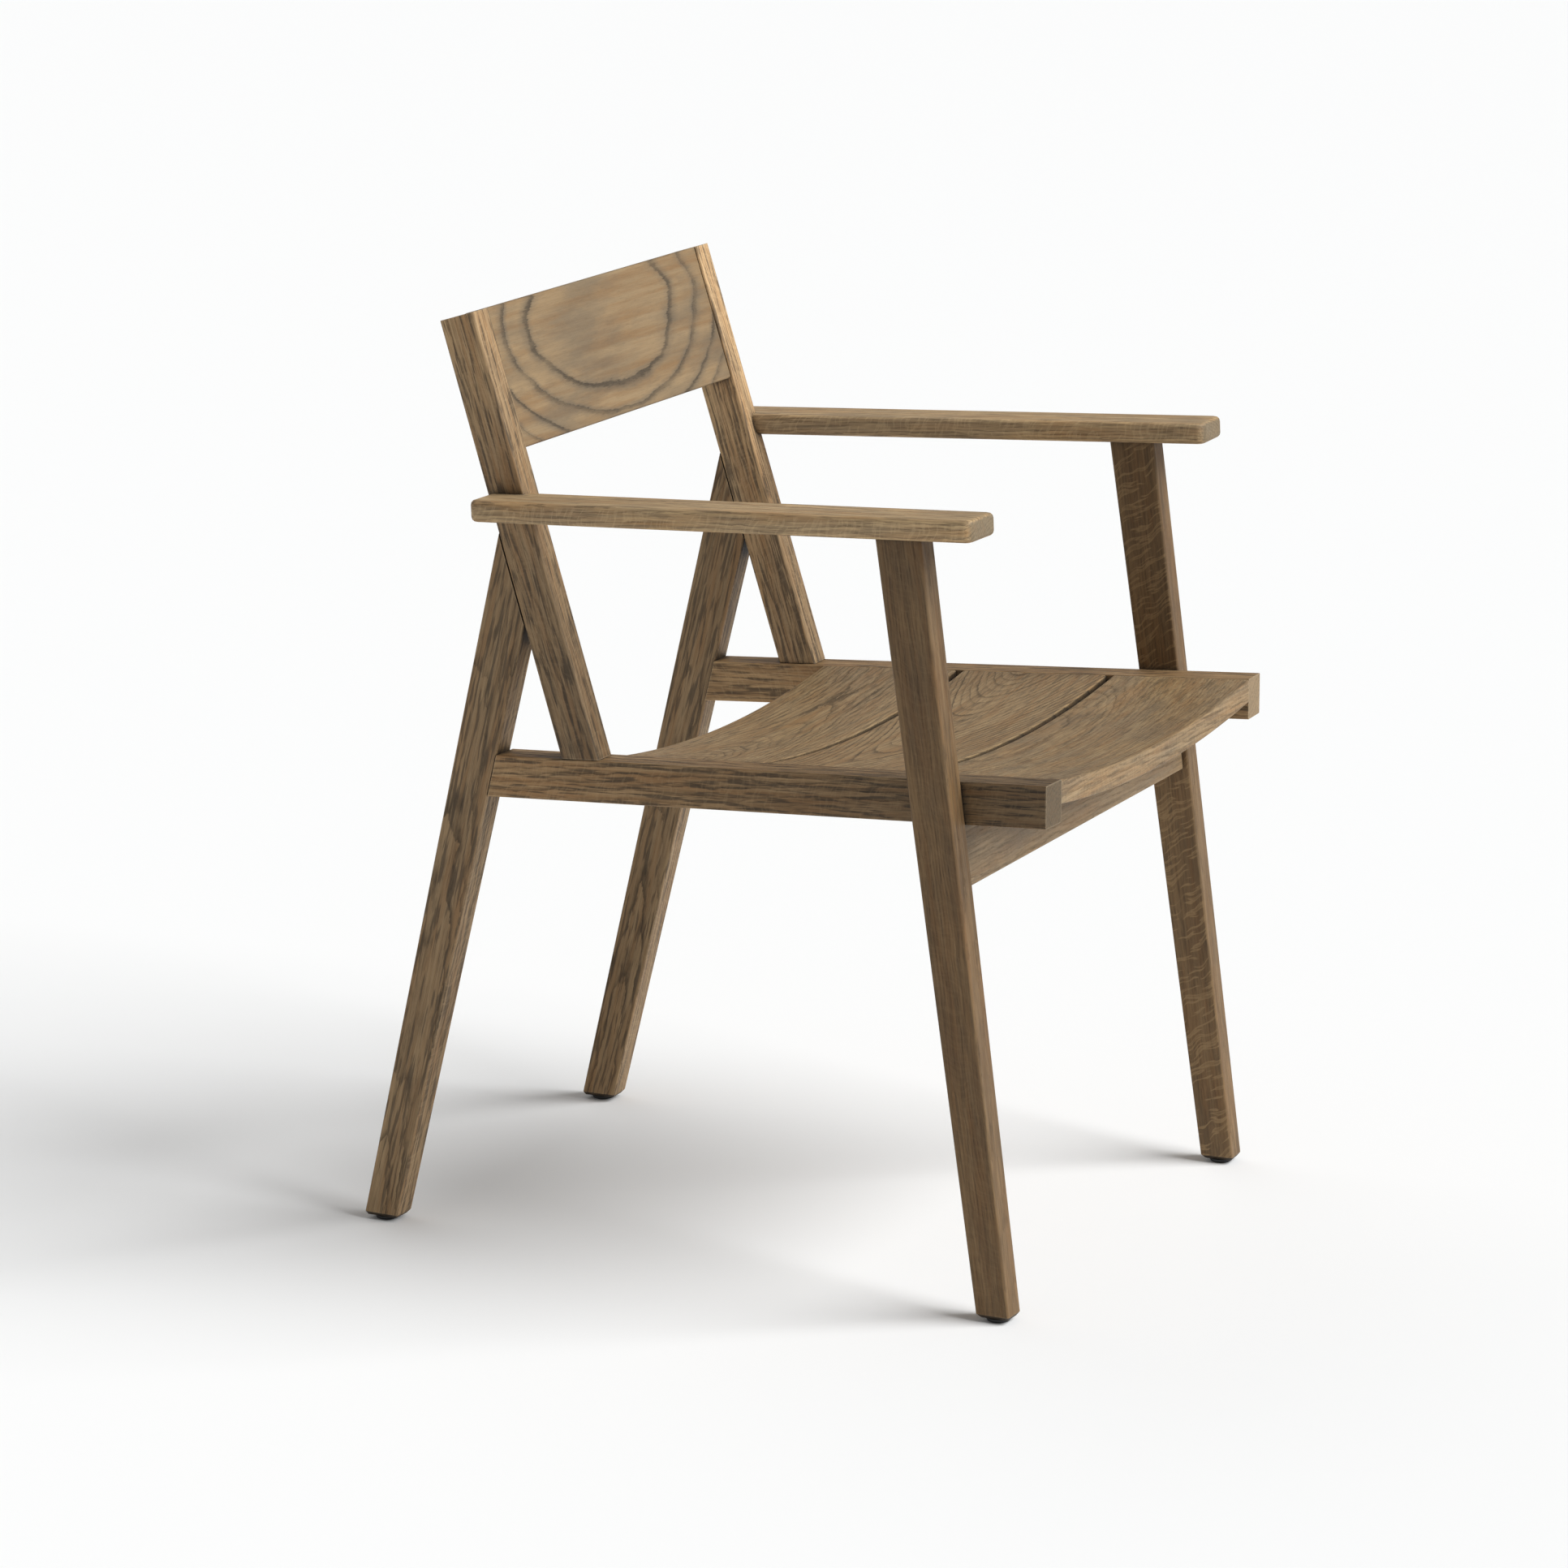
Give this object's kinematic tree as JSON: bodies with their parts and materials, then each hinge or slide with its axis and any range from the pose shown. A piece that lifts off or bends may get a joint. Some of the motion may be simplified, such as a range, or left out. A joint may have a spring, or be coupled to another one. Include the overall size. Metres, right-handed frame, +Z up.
{
  "type": "wooden armchair",
  "caption": "Solid wood armchair with leaning legs and back posts, dished plank seat, single back board and flat armrests",
  "frame": {"origin": "Middle of the chair's outline seen from above, at floor level", "axes": "+Z up; the chair faces -Y; +X is the sitter's left, and nodes ending in _left lie on that side"},
  "size_m": [0.5618, 0.645, 0.802],
  "materials": {
    "wood_frame": "brushed and oiled brown wood, satin",
    "wood_arm": "brushed and oiled brown wood, satin",
    "wood_back": "flat-sawn light brown wood with dark rings, satin",
    "wood_seat": "brushed and oiled brown wood, satin",
    "wood_apron": "brushed and oiled brown wood, satin",
    "wood_peg": "plain pale hardwood, hidden",
    "glide": "black plastic, matte"
  },
  "bodies": {
    "root": {"side_rail_left": "wood_frame", "side_rail_right": "wood_frame", "rear_leg_left": "wood_frame", "rear_leg_right": "wood_frame", "back_post_left": "wood_frame", "back_post_right": "wood_frame", "front_leg_left": "wood_frame", "front_leg_right": "wood_frame", "armrest_left": "wood_arm", "armrest_right": "wood_arm", "backrest_board": "wood_back", "seat_board_front": "wood_seat", "seat_board_middle": "wood_seat", "seat_board_rear": "wood_seat", "front_apron": "wood_apron", "tenon_rail_rear_left": "wood_peg", "tenon_rail_rear_right": "wood_peg", "tenon_rear_leg_left": "wood_peg", "tenon_rear_leg_right": "wood_peg", "tenon_post_foot_left": "wood_peg", "tenon_post_foot_right": "wood_peg", "tenon_apron_left": "wood_peg", "tenon_apron_right": "wood_peg", "dowel_front_leg_low_left": "wood_peg", "dowel_front_leg_low_right": "wood_peg", "dowel_front_leg_high_left": "wood_peg", "dowel_front_leg_high_right": "wood_peg", "dowel_arm_front_left": "wood_peg", "dowel_arm_front_right": "wood_peg", "dowel_arm_post_left": "wood_peg", "dowel_arm_post_right": "wood_peg", "dowel_backrest_low_left": "wood_peg", "dowel_backrest_low_right": "wood_peg", "dowel_backrest_high_left": "wood_peg", "dowel_backrest_high_right": "wood_peg", "dowel_seat_front_a_left": "wood_peg", "dowel_seat_front_a_right": "wood_peg", "dowel_seat_front_b_left": "wood_peg", "dowel_seat_front_b_right": "wood_peg", "dowel_seat_middle_a_left": "wood_peg", "dowel_seat_middle_a_right": "wood_peg", "dowel_seat_middle_b_left": "wood_peg", "dowel_seat_middle_b_right": "wood_peg", "dowel_seat_rear_a_left": "wood_peg", "dowel_seat_rear_a_right": "wood_peg", "dowel_seat_rear_b_left": "wood_peg", "dowel_seat_rear_b_right": "wood_peg", "glide_rear_left": "glide", "glide_rear_right": "glide", "glide_front_left": "glide", "glide_front_right": "glide"}
  },
  "joints": []
}
